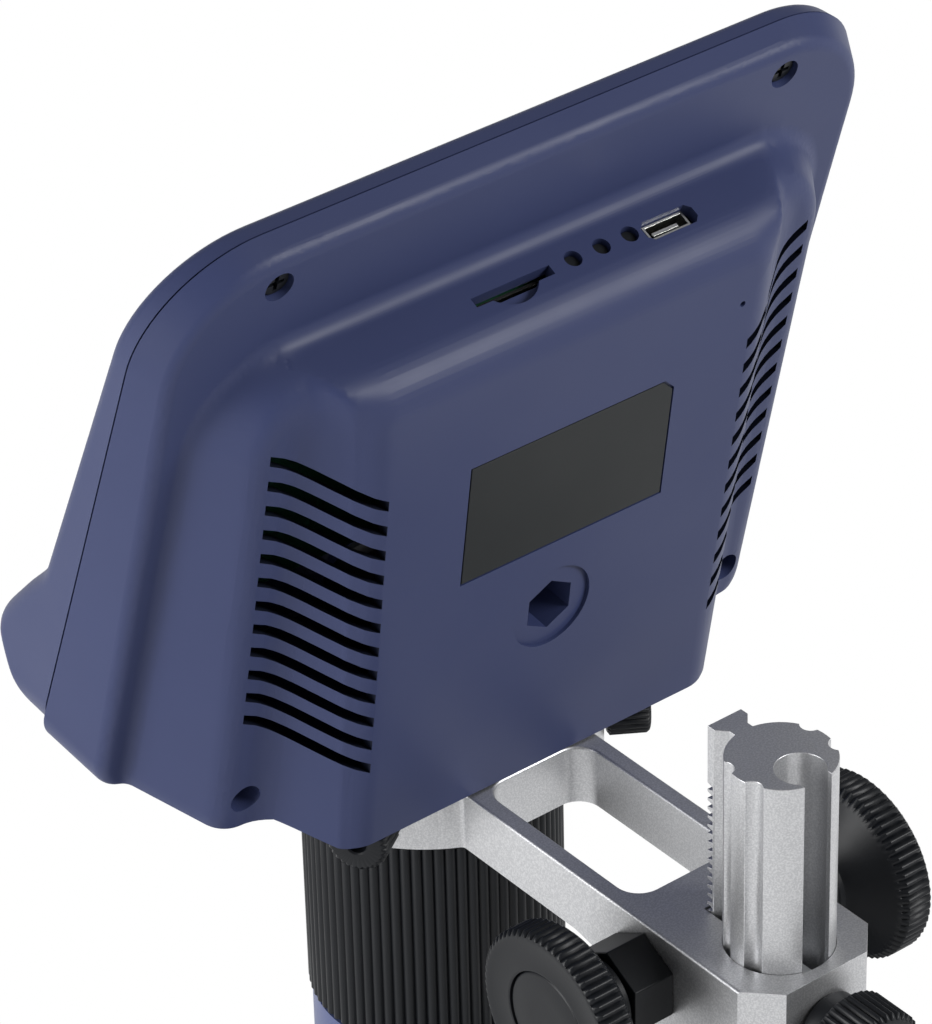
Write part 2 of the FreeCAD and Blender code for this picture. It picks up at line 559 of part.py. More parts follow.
# Arm: clamp ring, windowed beam and the block that rides on the column, in one piece.
ring_low = RING_TOP - RING_THICK
side = [(AXIS_Y, RING_TOP), (AXIS_Y, ring_low), (20, ring_low), (26.4, ring_low - 1.2), (31, ring_low - 4.2),
        (34, BLOCK_LOW), (BLOCK_END, BLOCK_LOW), (BLOCK_END, RING_TOP)]
plan = [(ARM_HALF, AXIS_Y), (ARM_HALF, CHAMFER_Y), (CHAMFER_X, BLOCK_END), (-CHAMFER_X, BLOCK_END),
        (-ARM_HALF, CHAMFER_Y), (-ARM_HALF, AXIS_Y)]
beam = slab_x(side, -20, 20).common(prism([V(x, y, -60) for x, y in plan], V(0, 0, 60)))
arm = beam.fuse(rod_z(RING_R, 0, AXIS_Y, ring_low, RING_TOP))
arm = soften(arm, (1.0, 0.6), lambda e: abs(e.CenterOfMass.z - (RING_TOP + ring_low) / 2) < 0.2
             and abs(abs(e.CenterOfMass.x) - ARM_HALF) < 0.2 and e.CenterOfMass.y < 0, "arm root")
cuts = [rod_z(NECK_R + BORE_GAP, 0, AXIS_Y, -70, 0), rounded_box(WINDOW_HALF, WINDOW_Y0, WINDOW_Y1, -70, 0, WINDOW_R),
        rod_z(COLUMN_R + SLIDE_GAP, 0, COLUMN_Y, -70, 0), box(-3.5, 3.5, RACK_FRONT - 0.3, COLUMN_Y, -70, 0),
        rod_x(PINION_BORE, -30, 30, KNOB_Y, KNOB_Z),
        Part.makeCylinder(2.8, 20, V(0, COLUMN_Y, LOCK_Z), V(0, 1, 0))]
clamp_dirs = []
for side_x in (-1, 1):
    a = math.radians(CLAMP_DEG)
    d = V(side_x * math.cos(a), math.sin(a), 0)
    clamp_dirs.append(d)
    cuts.append(Part.makeCylinder(2.2, 12, V(0, AXIS_Y, CLAMP_Z) + d * 18, d))
arm = arm.cut(cuts)
arm = arm.removeSplitter()
rim_edges = lambda e: abs(e.CenterOfMass.z - RING_TOP) < 0.02 and e.Length > 15 and (
    abs(e.CenterOfMass.x) > 9 or e.Length > 60)
arm = soften(arm, (0.5, 0.3), rim_edges, "arm rim")
export("arm_block", arm)

# Column with the rack, seated in the base.
column_low = BENCH + FOOT_H + BASE_THICK - SEAT_DEEP
column = rod_z(COLUMN_R, 0, COLUMN_Y, column_low, COLUMN_TOP)
rack = [(-3.2, RACK_FRONT), (3.2, RACK_FRONT), (3.2, RACK_FRONT + 1.5), (1.7, 42.3), (1.7, 45), (-1.7, 45), (-1.7, 42.3),
        (-3.2, RACK_FRONT + 1.5)]
column = column.fuse(prism([V(x, y, column_low) for x, y in rack], V(0, 0, COLUMN_TOP - column_low)))
cuts = [rod_z(CHANNEL_R, 0, CHANNEL_Y, column_low - 1, COLUMN_TOP + 1),
        box(-CHANNEL_MOUTH / 2, CHANNEL_MOUTH / 2, CHANNEL_Y, COLUMN_Y + 12, column_low - 1, COLUMN_TOP + 1)]
for side_x in (-1, 1):
    for yy in (48.4, 54.6):
        cuts.append(rod_z(1.6, side_x * 8.3, yy, column_low - 1, COLUMN_TOP + 1))
pitch = math.pi * MODULE
first = KNOB_Z + pitch * math.floor((COLUMN_TOP - 10.5 - KNOB_Z) / pitch)
count = int((first - (BENCH + 50)) / pitch)
comb = [(RACK_FRONT - 1.0, first + 0.56)]
for i in range(count):
    z = first - i * pitch
    comb += [(RACK_FRONT, z + 0.55), (RACK_FRONT + 1.1, z + 0.28), (RACK_FRONT + 1.1, z - 0.28), (RACK_FRONT, z - 0.55)]
comb.append((RACK_FRONT - 1.0, first - (count - 1) * pitch - 0.56))
cuts.append(slab_x(comb, -4, 4))
column = column.cut(cuts)
export("column", column)
pad_nose = rod_z(CHANNEL_R - 0.3, 0, CHANNEL_Y, LOCK_Z - 5, LOCK_Z + 5)
pad = box(-2.3, 2.3, CHANNEL_Y - 5, CHANNEL_Y, LOCK_Z - 5, LOCK_Z + 5).common(pad_nose)
pad = pad.fuse(box(-2.3, 2.3, CHANNEL_Y - 0.1, COLUMN_Y + COLUMN_R - 0.3, LOCK_Z - 5, LOCK_Z + 5))
export("brake_pad", pad.removeSplitter())

# Pinion shaft: teeth in the middle, plain ends in hexagonal bushes.
points = []
for i in range(PINION_TEETH):
    a = 2 * math.pi * i / PINION_TEETH
    for r, w in ((2.85, -0.44), (3.85, -0.14), (3.85, 0.14), (2.85, 0.44)):
        points.append(V(-3.9, KNOB_Y + r * math.cos(a) - w * math.sin(a), KNOB_Z + r * math.sin(a) + w * math.cos(a)))
teeth = prism(points, V(7.8, 0, 0))
shaft = teeth.fuse(rod_x(2.6, -KNOB_OUT + 1.6, KNOB_OUT - 1.6, KNOB_Y, KNOB_Z))
for side_x in (-1, 1):
    x0, x1 = (4.6, KNOB_OUT - 2.0) if side_x > 0 else (-KNOB_OUT + 2.0, -4.6)
    shaft = shaft.fuse(rod_x(SHAFT_R, x0, x1, KNOB_Y, KNOB_Z))
export("pinion_shaft", shaft.removeSplitter())
bushes = []
for side_x in (-1, 1):
    spigot = rod_x(PINION_BORE - 0.02, 5.2, ARM_HALF + 1, KNOB_Y, KNOB_Z)
    pts = []
    for i in range(6):
        a = math.radians(60 * i + 30)
        pts.append(V(ARM_HALF + 0.02, KNOB_Y + 7.5 * math.cos(a), KNOB_Z + 7.5 * math.sin(a)))
    bush = spigot.fuse(prism(pts, V(BUSH_OUT - ARM_HALF - 0.02, 0, 0)))
    bush = bush.cut(rod_x(SHAFT_R + SHAFT_GAP, 0, 40, KNOB_Y, KNOB_Z))
    bushes.append(bush if side_x > 0 else mirror_x(bush))
export("shaft_bushes", Part.Compound(bushes))

turned = [(BUSH_OUT + 0.35, 6.3), (BUSH_OUT + 1.6, 6.3), (KNOB_IN - 0.4, 13.6), (KNOB_IN + 0.2, 13.6)]
wire = [V(x, 0, r) for x, r in turned]
wire = [V(BUSH_OUT + 0.35, 0, 0)] + wire + [V(KNOB_IN + 0.2, 0, 0)]
cone = Part.Face(Part.makePolygon(wire + [wire[0]])).revolve(V(0, 0, 0), V(1, 0, 0), 360)
band = along(ribbed(KNOB_RIBS, KNOB_R, KNOB_R - 0.7, KNOB_OUT - KNOB_IN, False), V(KNOB_IN, 0, 0), V(1, 0, 0))
trim = [V(KNOB_IN - 0.1, 0, 0), V(KNOB_IN - 0.1, 0, 14.3), (V(KNOB_IN + 0.7, 0, 15.1)), V(KNOB_OUT - 0.8, 0, 15.1),
        V(KNOB_OUT, 0, 14.2), V(KNOB_OUT, 0, 0)]
trim = Part.Face(Part.makePolygon(trim + [trim[0]])).revolve(V(0, 0, 0), V(1, 0, 0), 360)
knob = cone.fuse(band.common(trim))
knob = knob.cut([rod_x(SHAFT_R + 0.02, 0, KNOB_OUT, 0, 0), rod_x(8.5, KNOB_OUT - 1.5, KNOB_OUT + 1, 0, 0)])
cap = rod_x(8.4, KNOB_OUT - 1.48, KNOB_OUT - 0.2, 0, 0)
for node, shape in (("focus_knob", knob), ("knob_cap", cap)):
    shape = shape.copy()
    shape.translate(V(0, KNOB_Y, KNOB_Z))
    export(node + "_right", shape)
    export(node + "_left", mirror_x(shape))

# Thumb screws: one behind the block, two in the clamp ring.
lock = ribbed(36, 7.8, 7.3, 8.0, False).fuse(Part.makeCylinder(5.3, 4.0, V(0, 0, -3.9), V(0, 0, 1)))
lock = lock.fuse(Part.makeCylinder(2.5, 8.0, V(0, 0, -6.2), V(0, 0, 1)))
lock = lock.cut(Part.makeCylinder(2.4, 2.0, V(0, 0, 6.8), V(0, 0, 1)))
export("lock_screw", along(lock, V(0, 66.0, LOCK_Z), V(0, 1, 0)))
for name, d in zip(("left", "right"), clamp_dirs):
    head = ribbed(24, CLAMP_R, CLAMP_R - 0.4, CLAMP_FACE - RING_R - 0.35, False)
    head = head.fuse(Part.makeCylinder(1.9, 9.0, V(0, 0, -8.0), V(0, 0, 1)))
    head = head.cut(Part.makeCylinder(1.55, 4.0, V(0, 0, 3.6), V(0, 0, 1)))
    export("clamp_screw_" + name, along(head, V(0, AXIS_Y, CLAMP_Z) + d * (RING_R + 0.35), d))

# Base plate with the seat for the column, its bolt and the feet.
z0, z1 = BENCH + FOOT_H, BENCH + FOOT_H + BASE_THICK
mid = -FRAME_Y
plate = rounded_box(BASE_WIDTH / 2, mid - BASE_LENGTH / 2, mid + BASE_LENGTH / 2, z0, z1, BASE_CORNER)
plate = soften(plate, (1.0,), lambda e: abs(e.CenterOfMass.z - z1) < 0.01, "base")
seat = [rod_z(COLUMN_R + 0.05, 0, COLUMN_Y, column_low, z1 + 1), box(-3.3, 3.3, RACK_FRONT - 0.1, COLUMN_Y, column_low, z1 + 1),
        rod_z(CHANNEL_R + 0.3, 0, CHANNEL_Y, z0 - 1, z1), rod_z(7.3, 0, CHANNEL_Y, z0 - 1, z0 + 4.5)]
feet = []
for x in (-46, 46):
    for y in (mid - 86, mid + 86):
        seat.append(rod_z(FOOT_R + 0.05, x, y, z0 - 1, z0 + 1.0))
        feet.append(rod_z(FOOT_R, x, y, BENCH, z0 + 0.98))
export("base_plate", plate.cut(seat))
export("rubber_feet", Part.Compound(feet))
bolt = rod_z(CHANNEL_R - 0.05, 0, CHANNEL_Y, z0 + 4.4, z0 + 28).fuse(rod_z(7.0, 0, CHANNEL_Y, z0 + 0.6, z0 + 4.45))
pts = [V(3.46 * math.cos(math.radians(60 * i)), CHANNEL_Y + 3.46 * math.sin(math.radians(60 * i)), z0) for i in range(6)]
bolt = bolt.cut(prism(pts, V(0, 0, 3.6)))
export("column_bolt", bolt)
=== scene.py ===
# %% [markdown]
# The object is a digital microscope. A moulded blue head with a screen in front sits on a barrel with
# a black ribbed ring. An aluminium arm clamps the barrel, and a rack and pinion moves the arm along a
# grooved column.
#
# The machined and moulded solids come in as a fixed frame that isn't moved or resized. Everything
# here either dresses one of those solids or lays a finer surface over it.

# %% Load the frame
import json
import math

import bmesh
import bpy
import numpy as np
from mathutils import Matrix, Vector


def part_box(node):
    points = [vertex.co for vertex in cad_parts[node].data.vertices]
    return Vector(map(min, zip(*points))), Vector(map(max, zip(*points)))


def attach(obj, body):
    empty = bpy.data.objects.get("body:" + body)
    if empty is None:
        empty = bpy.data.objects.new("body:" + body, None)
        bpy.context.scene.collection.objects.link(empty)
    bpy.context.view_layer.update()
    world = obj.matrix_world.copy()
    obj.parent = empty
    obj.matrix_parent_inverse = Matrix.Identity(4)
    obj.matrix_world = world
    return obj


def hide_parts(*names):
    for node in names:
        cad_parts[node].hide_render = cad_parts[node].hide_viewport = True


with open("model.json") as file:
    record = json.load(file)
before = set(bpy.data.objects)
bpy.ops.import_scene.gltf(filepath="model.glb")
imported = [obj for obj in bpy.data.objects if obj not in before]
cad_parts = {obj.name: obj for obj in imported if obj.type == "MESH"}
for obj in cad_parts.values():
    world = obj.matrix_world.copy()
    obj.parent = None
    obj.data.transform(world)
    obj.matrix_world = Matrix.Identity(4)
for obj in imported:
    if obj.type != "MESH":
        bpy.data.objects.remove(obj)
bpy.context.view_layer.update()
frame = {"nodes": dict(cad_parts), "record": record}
bodies = frame["record"]["behaviour"]["bodies"]
body_of_node = {node: body for body, nodes in bodies.items() for node in nodes}
slot_of_node = {row["node"]: row["material_slot"] for row in frame["record"]["subparts"]}
print("nodes", len(body_of_node))

# %% [markdown]
# A few places are shared by many pieces, so they are named once, in metres. The hexagonal socket on
# the rear face is where the solids were drawn from, and the other places are axes of turned pieces.

# %% Named places
MM = 0.001
HEX_SOCKET = np.array([0.0, 18.5, 189.0]) * MM
BARREL_AXIS = (0.0, -12.5 * MM)
KNOB_AXIS = (54.6 * MM, 147.9 * MM)
KNOB_START, CAP_START = 20.35 * MM, 30.02 * MM
LOCK_START = (0, 84.5 * MM, 148.0 * MM)
CLAMP_REACH, CLAMP_HEIGHT, CLAMP_LEAN = 27.75 * MM, 151.7 * MM, math.radians(33)
print("socket at", HEX_SOCKET)

# %% [markdown]
# A moulded or bead-blasted surface isn't mirror smooth: it has a fine grain that spreads highlights.
# It could be real geometry, but at this size a bump from noise does the same for far fewer faces.
# Many finishes use it with other numbers, so it is one node group that puts out a value and a normal.

# %% Grain group
def grain_group():
    """Bump from noise: the height is fine noise in Object coordinates, times Height and Strength."""
    tree = bpy.data.node_groups.new("moulded_grain", "ShaderNodeTree")
    face = tree.interface
    for name, value in (("Scale", 2600.0), ("Strength", 0.2), ("Height", 0.00003)):
        socket = face.new_socket(name=name, in_out="INPUT", socket_type="NodeSocketFloat")
        socket.default_value = value
    face.new_socket(name="Normal", in_out="OUTPUT", socket_type="NodeSocketVector")
    face.new_socket(name="Value", in_out="OUTPUT", socket_type="NodeSocketFloat")
    n, link = tree.nodes, tree.links
    inp, out = n.new("NodeGroupInput"), n.new("NodeGroupOutput")
    coord, noise, bump = n.new("ShaderNodeTexCoord"), n.new("ShaderNodeTexNoise"), n.new("ShaderNodeBump")
    noise.inputs["Detail"].default_value = 2.0
    link.new(coord.outputs["Object"], noise.inputs["Vector"])
    link.new(inp.outputs["Scale"], noise.inputs["Scale"])
    link.new(noise.outputs["Fac"], bump.inputs["Height"])
    link.new(inp.outputs["Strength"], bump.inputs["Strength"])
    link.new(inp.outputs["Height"], bump.inputs["Distance"])
    link.new(bump.outputs["Normal"], out.inputs["Normal"])
    link.new(noise.outputs["Fac"], out.inputs["Value"])
    return tree


GRAIN = grain_group()
print(GRAIN.name, "made")

# %% [markdown]
# Handling and moulding leave the sheen a little uneven. A second group stretches slow noise between
# two numbers, and a finish uses it once for its roughness and once for a faint drift of its colour.

# %% Uneven sheen group
def mottle_group():
    """Mask from slow noise, stretched to lie between Low and High."""
    tree = bpy.data.node_groups.new("uneven_sheen", "ShaderNodeTree")
    face = tree.interface
    for name, value in (("Scale", 45.0), ("Low", 0.4), ("High", 0.5)):
        socket = face.new_socket(name=name, in_out="INPUT", socket_type="NodeSocketFloat")
        socket.default_value = value
    face.new_socket(name="Value", in_out="OUTPUT", socket_type="NodeSocketFloat")
    n, link = tree.nodes, tree.links
    inp, out = n.new("NodeGroupInput"), n.new("NodeGroupOutput")
    coord, noise, span = n.new("ShaderNodeTexCoord"), n.new("ShaderNodeTexNoise"), n.new("ShaderNodeMapRange")
    noise.inputs["Detail"].default_value = 4.0
    link.new(coord.outputs["Object"], noise.inputs["Vector"])
    link.new(inp.outputs["Scale"], noise.inputs["Scale"])
    link.new(noise.outputs["Fac"], span.inputs["Value"])
    span.inputs["From Min"].default_value = 0.3
    span.inputs["From Max"].default_value = 0.7
    link.new(inp.outputs["Low"], span.inputs["To Min"])
    link.new(inp.outputs["High"], span.inputs["To Max"])
    link.new(span.outputs["Result"], out.inputs["Value"])
    return tree


MOTTLE = mottle_group()
print(MOTTLE.name, "made")

# %% [markdown]
# Every opaque finish is one Principled shader, and only its numbers tell plastic from metal. The
# constant ones are set on the shader itself, and what changes over the surface comes from the two
# groups. Blasted aluminium also has pale flecks, taken from the same grain as its bump.

# %% Finish function
FLECK_FROM, FLECK_TO = 0.42, 0.62
DRIFT_SCALE = 18.0


def finish(name, colour, rough, metallic=0.0, grain=2600.0, bump=0.2, height=0.00003, drift=0.08,
           coat=0.0, specular=0.5, speckle=0.0):
    """Principled material with uneven sheen between the two roughness values and a fine grain."""
    mat = bpy.data.materials.new(name)
    mat.use_nodes = True
    n, link = mat.node_tree.nodes, mat.node_tree.links
    shader = n["Principled BSDF"]
    shader.inputs["Metallic"].default_value = metallic
    shader.inputs["Specular IOR Level"].default_value = specular
    shader.inputs["Coat Weight"].default_value = coat
    sheen = n.new("ShaderNodeGroup")
    sheen.node_tree = MOTTLE
    sheen.inputs["Low"].default_value, sheen.inputs["High"].default_value = rough[0], rough[1]
    link.new(sheen.outputs["Value"], shader.inputs["Roughness"])
    skin = n.new("ShaderNodeGroup")
    skin.node_tree = GRAIN
    skin.inputs["Scale"].default_value, skin.inputs["Strength"].default_value = grain, bump
    skin.inputs["Height"].default_value = height
    link.new(skin.outputs["Normal"], shader.inputs["Normal"])
    tone = n.new("ShaderNodeGroup")
    tone.node_tree = MOTTLE
    tone.inputs["Scale"].default_value = DRIFT_SCALE
    tone.inputs["Low"].default_value, tone.inputs["High"].default_value = 0.0, 1.0
    mix = n.new("ShaderNodeMix")
    mix.data_type = "RGBA"
    dark = [c * (1.0 - drift) for c in colour]
    light = [min(1.0, c * (1.0 + drift)) for c in colour]
    mix.inputs[6].default_value, mix.inputs[7].default_value = (*dark, 1.0), (*light, 1.0)
    link.new(tone.outputs["Value"], mix.inputs[0])
    last = mix.outputs[2]
    if speckle:
        fleck = n.new("ShaderNodeMix")
        fleck.data_type = "RGBA"
        ramp = n.new("ShaderNodeMapRange")
        ramp.inputs["From Min"].default_value = FLECK_FROM
        ramp.inputs["From Max"].default_value = FLECK_TO
        ramp.inputs["To Max"].default_value = speckle
        link.new(skin.outputs["Value"], ramp.inputs["Value"])
        link.new(ramp.outputs["Result"], fleck.inputs[0])
        link.new(last, fleck.inputs[6])
        fleck.inputs[7].default_value = (1.0, 1.0, 1.0, 1.0)
        last = fleck.outputs[2]
    link.new(last, shader.inputs["Base Color"])
    return mat

# %% [markdown]
# The head's blue is dark and satin, so its colour is low and its reflection weak. The painted lower
# barrel is a little lighter. The blacks differ in roughness only: moulded plastic, anodised metal and
# oxidised steel. The walls of the vent slots are the same blue plastic, but they get a near-black
# painted shade of their own, because so little light finds its way into a slot that they read as black.

# %% Plastics
BLUE = (0.032, 0.042, 0.108)
PAINT_BLUE = (0.066, 0.084, 0.19)
BLACK = (0.006, 0.007, 0.009)
finishes = {
    "blue_plastic": finish("moulded_blue", BLUE, (0.42, 0.5), grain=5200.0, bump=0.35, height=0.00002,
                           drift=0.04, specular=0.26),
    # Painted shade: this near-black finish stands in for the shade inside the vent slots, not for a colour of
    # the plastic.
    "slot_shade": finish("slot_shade", (0.006, 0.008, 0.018), (0.5, 0.6), specular=0.2),
    "blue_metal": finish("painted_blue", PAINT_BLUE, (0.36, 0.44), grain=5200.0, bump=0.2,
                         height=0.00002, drift=0.03, specular=0.3),
    "black_plastic": finish("moulded_black", BLACK, (0.36, 0.48), grain=3800.0, bump=0.4,
                            specular=0.22),
    "key_plastic": finish("key_black", (0.02, 0.021, 0.026), (0.4, 0.5), grain=4200.0),
}
print("plastic finishes", len(finishes))

# %% [markdown]
# The arm and the column are bead-blasted aluminium: nearly all metal, with a coarse bump and flecks.
# The base is powder coated. The label plate is bare, plain and dark.

# %% Metals and other finishes
finishes.update({
    "black_metal": finish("anodised_black", BLACK, (0.3, 0.42), grain=5000.0, specular=0.25),
    "black_steel": finish("black_oxide", BLACK, (0.32, 0.42), specular=0.25),
    "bare_aluminium": finish("blasted_aluminium", (0.5, 0.505, 0.52), (0.36, 0.46), metallic=0.9,
                             grain=3600.0, bump=0.5, height=0.00004, drift=0.03, speckle=0.25),
    "plated_steel": finish("plated_steel", (0.55, 0.55, 0.53), (0.2, 0.3), metallic=1.0),
    "pad_plastic": finish("natural_pad", (0.78, 0.8, 0.82), (0.4, 0.5)),
    "lamp_white": finish("diffuse_lens", (0.85, 0.85, 0.82), (0.25, 0.35)),
    "board_green": finish("solder_mask", (0.02, 0.1, 0.05), (0.35, 0.45)),
    "screen_black": finish("screen_glass_black", (0.006, 0.006, 0.008), (0.04, 0.07), bump=0.0,
                           coat=0.6),
    "panel_grey": finish("panel_back", (0.4, 0.41, 0.42), (0.35, 0.45), metallic=0.9),
    "label_black": finish("bare_label", (0.01, 0.012, 0.013), (0.42, 0.5), grain=6000.0, bump=0.15,
                          specular=0.25),
    "base_metal": finish("powder_coat", (0.05, 0.055, 0.065), (0.45, 0.55), grain=2200.0, bump=0.6,
                         height=0.00006),
    "foot_rubber": finish("foot_rubber", (0.02, 0.02, 0.021), (0.6, 0.75), grain=1800.0, bump=0.5),
})
print("finishes", len(finishes))

# %% [markdown]
# The lens and its window are clear glass, which is a shader of its own with plain constant values.

# %% Glass
glass = bpy.data.materials.new("coated_glass")
glass.use_nodes = True
pane = glass.node_tree.nodes["Principled BSDF"]
pane.inputs["Base Color"].default_value = (0.8, 0.85, 0.9, 1.0)
pane.inputs["Roughness"].default_value = 0.02
pane.inputs["Transmission Weight"].default_value = 1.0
pane.inputs["IOR"].default_value = 1.5
finishes["lens_glass"] = glass
print("glass added")

# %% [markdown]
# In the solid, the flank of the housing is a plain slope that meets the step in a crease. On the
# moulding the step swells into the block in one soft S, and the slots ride over it. The surface
# could be modelled anew, slots and all, but it is simpler to push the solid's own skin in Y by a
# smooth amount. Seen along Y, the slots and the screw holes then keep their outline.
#
# The amount is a formula: a moving average rounds a corner of a straight profile by a parabola, so
# the two corners of the flank each add one parabola.

# %% Soft S of the flank
REAR_RISE, BLOCK_HALF, BLOCK_SPREAD = 0.156, 36.93, 0.0385
FLANK_RUN, FLANK_DEPTH, DEPTH_FALL = 0.57, 10.08, 0.0657
SWELL, OLD_ROUND = 4.6, 1.15
FRONT_DEPTH, FRONT_FADE = 19.0, 5.0
TOP_FADE = (49.0, 57.0)


def ease(x, a, b):
    """Cubic step 3t^2 - 2t^3 with t = (x - a) / (b - a) held between 0 and 1."""
    t = np.clip((x - a) / (b - a), 0.0, 1.0)
    return t * t * (3.0 - 2.0 * t)


def band(x, a, b, c, d):
    """Rises from 0 at a to 1 at b, stays, and falls from 1 at c to 0 at d, with cubic steps."""
    return ease(x, a, b) * (1.0 - ease(x, c, d))


def kink(d, w):
    """Height that a moving average of half-width w adds to a unit kink: (w - |d|)^2 / (4 w)."""
    return np.maximum(w - np.abs(d), 0.0) ** 2 / (4.0 * w)


def swell(pts):
    """Offset in Y at points in mm from the socket: the two kinks of the flank, each averaged over
    SWELL and divided by the flank's run, less the rounding that the solid already has."""
    x, y, z = np.abs(pts[:, 0]), pts[:, 1], pts[:, 2]
    edge = BLOCK_HALF + BLOCK_SPREAD * z
    foot = edge + FLANK_RUN * (FLANK_DEPTH - DEPTH_FALL * z)
    soft = kink(x - foot, SWELL) - kink(x - edge, SWELL) + kink(x - edge, OLD_ROUND)
    behind = ease(y - (REAR_RISE * z - FRONT_DEPTH), 0.0, FRONT_FADE)
    return soft / FLANK_RUN * behind * (1.0 - ease(z, *TOP_FADE))


print("deepest swell, mm", SWELL / 4.0 / FLANK_RUN)

# %% [markdown]
# A push only bends a mesh at its vertices, and a flat face of a solid has none inside. So the skin is
# first sliced by planes 0.9 mm apart across the flank and 1.2 mm apart at the upper corners. The
# corners, where flank, slope and step meet, are then relaxed: each vertex moves towards the mean of
# its neighbours, forty times over, and a mask keeps the rest of the housing still.

# %% Slicing and relaxing
SLICE_NEAR = (28.0, 57.0)


def slice_mesh(bm, cuts):
    """Cut the faces between the SLICE_NEAR distances from the middle by each (point, normal) plane."""
    inner, outer = SLICE_NEAR
    for point, normal in cuts:
        near = [f for f in bm.faces if any(inner * MM < abs(v.co.x) < outer * MM for v in f.verts)]
        edges = dict.fromkeys(e for f in near for e in f.edges)
        verts = dict.fromkeys(v for f in near for v in f.verts)
        bmesh.ops.bisect_plane(bm, geom=[*verts, *edges, *near], dist=1e-6, plane_co=point,
                               plane_no=normal)


def relax(pts, pairs, weight, rounds):
    """Each round moves a point by weight / 2 of the way to the mean of its neighbours."""
    for _ in range(rounds):
        total, count = np.zeros_like(pts), np.zeros(len(pts))
        np.add.at(total, pairs[:, 0], pts[pairs[:, 1]])
        np.add.at(total, pairs[:, 1], pts[pairs[:, 0]])
        np.add.at(count, pairs[:, 0], 1.0)
        np.add.at(count, pairs[:, 1], 1.0)
        pts += 0.5 * weight[:, None] * (total / np.maximum(count, 1.0)[:, None] - pts)
    return pts


# %% [markdown]
# The rear housing is shaped in one go: slice, swell, relax, and then mark which faces are walls of a
# slot, which get a painted shade. Those face up, down or sideways, never back, so their normal has hardly any
# Y.

# %% Shape of the rear housing
CORNER_Z, CORNER_X, CORNER_ROUNDS = (48.5, 52.5, 60.0, 66.0), (33.0, 37.0, 47.0, 51.0), 40
FLANK_CUTS, CORNER_CUTS = (31.0, 53.0, 0.9), (48.5, 66.0, 1.2)
SLOT_X, SLOT_Z, WALL_FACING = (32.5, 51.0), (-18.0, 50.0), 0.3
SMOOTH_UNDER = math.radians(30)


def mark_smooth(bm, limit):
    """Smooth shading, with a sharp edge wherever two faces meet at more than the limit."""
    for edge in bm.edges:
        edge.smooth = len(edge.link_faces) == 2 and edge.calc_face_angle(0.0) < limit
    for face in bm.faces:
        face.smooth = True


def mark_slots(bm, home):
    """Second material, a painted shade, on the faces that are walls of the vent slots."""
    for face in bm.faces:
        centre = np.array(face.calc_center_median()) / MM - home
        in_slot = SLOT_X[0] < abs(centre[0]) < SLOT_X[1] and SLOT_Z[0] < centre[2] < SLOT_Z[1]
        # Painted shade: slot walls take the near-black second material in place of the shade inside the
        # slots.
        face.material_index = int(in_slot and abs(face.normal.y) < WALL_FACING)


def shape_moulding(mesh):
    """Slice, swell and relax the skin of the rear housing, and give its slot walls a painted shade."""
    home = HEX_SOCKET / MM
    mesh.materials.clear()
    mesh.materials.append(finishes["blue_plastic"])
    mesh.materials.append(finishes["slot_shade"])
    bm = bmesh.new()
    bm.from_mesh(mesh)
    bmesh.ops.triangulate(bm, faces=bm.faces)
    cuts = [((side * x * MM, 0, 0), (1, 0, 0)) for side in (-1, 1) for x in np.arange(*FLANK_CUTS)]
    cuts += [((0, 0, (home[2] + z) * MM), (0, 0, 1)) for z in np.arange(*CORNER_CUTS)]
    slice_mesh(bm, cuts)
    bmesh.ops.triangulate(bm, faces=[f for f in bm.faces if len(f.verts) > 4])
    pts = np.array([v.co for v in bm.verts]) / MM - home
    pts[:, 1] += swell(pts)
    bm.verts.index_update()
    pairs = np.array([(e.verts[0].index, e.verts[1].index) for e in bm.edges])
    weight = band(pts[:, 2], *CORNER_Z) * band(np.abs(pts[:, 0]), *CORNER_X)
    pts = relax(pts, pairs, weight, CORNER_ROUNDS)
    for vert, place in zip(bm.verts, (pts + home) * MM):
        vert.co = place
    bm.normal_update()
    mark_smooth(bm, SMOOTH_UNDER)
    mark_slots(bm, home)
    bm.to_mesh(mesh)
    bm.free()
    print("housing relaxed at", int((weight > 0).sum()), "vertices")


# %% [markdown]
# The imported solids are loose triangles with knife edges. A real machined or moulded piece has a fine
# round along each edge, and that is where it catches light. So each piece that shows is copied, its
# vertices merged, its flat parts joined, and a narrow Bevel modifier added. Pieces whose rounds are
# in the solid already only get weighted normals, which keep their flat parts flat.

# %% Copies of solids with softened edges
FLAT_UNDER, MERGE_UNDER, BEVEL_SEGMENTS = math.radians(0.6), 1e-6, 2


def wear(obj, slot_name):
    obj.data.materials.clear()
    obj.data.materials.append(finishes[slot_name])


def soften_copy(node, width):
    """Merged copy of a solid with a bevel of the given width, or with weighted normals for none."""
    mesh = frame["nodes"][node].data.copy()
    mesh.name = node + "_skin"
    bm = bmesh.new()
    bm.from_mesh(mesh)
    bmesh.ops.remove_doubles(bm, verts=bm.verts, dist=MERGE_UNDER)
    bmesh.ops.dissolve_limit(bm, angle_limit=FLAT_UNDER, verts=bm.verts, edges=bm.edges)
    mark_smooth(bm, SMOOTH_UNDER)
    bm.to_mesh(mesh)
    bm.free()
    piece = bpy.data.objects.new(node + "_skin", mesh)
    bpy.context.scene.collection.objects.link(piece)
    if width:
        bevel = piece.modifiers.new("edge", "BEVEL")
        bevel.width, bevel.segments = width, BEVEL_SEGMENTS
        bevel.limit_method, bevel.angle_limit = "ANGLE", SMOOTH_UNDER
        bevel.harden_normals = True
        bevel.use_clamp_overlap = True
    else:
        weighted = piece.modifiers.new("normals", "WEIGHTED_NORMAL")
        weighted.keep_sharp = True
    if node == "rear_housing":
        shape_moulding(mesh)
    else:
        wear(piece, slot_of_node[node])
    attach(piece, body_of_node[node])
    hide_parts(node)
    return piece


# %% [markdown]
# The widths are in millimetres. Milled edges of the arm and the base are broken by about a third of a
# millimetre, and the drawn column is crisper.

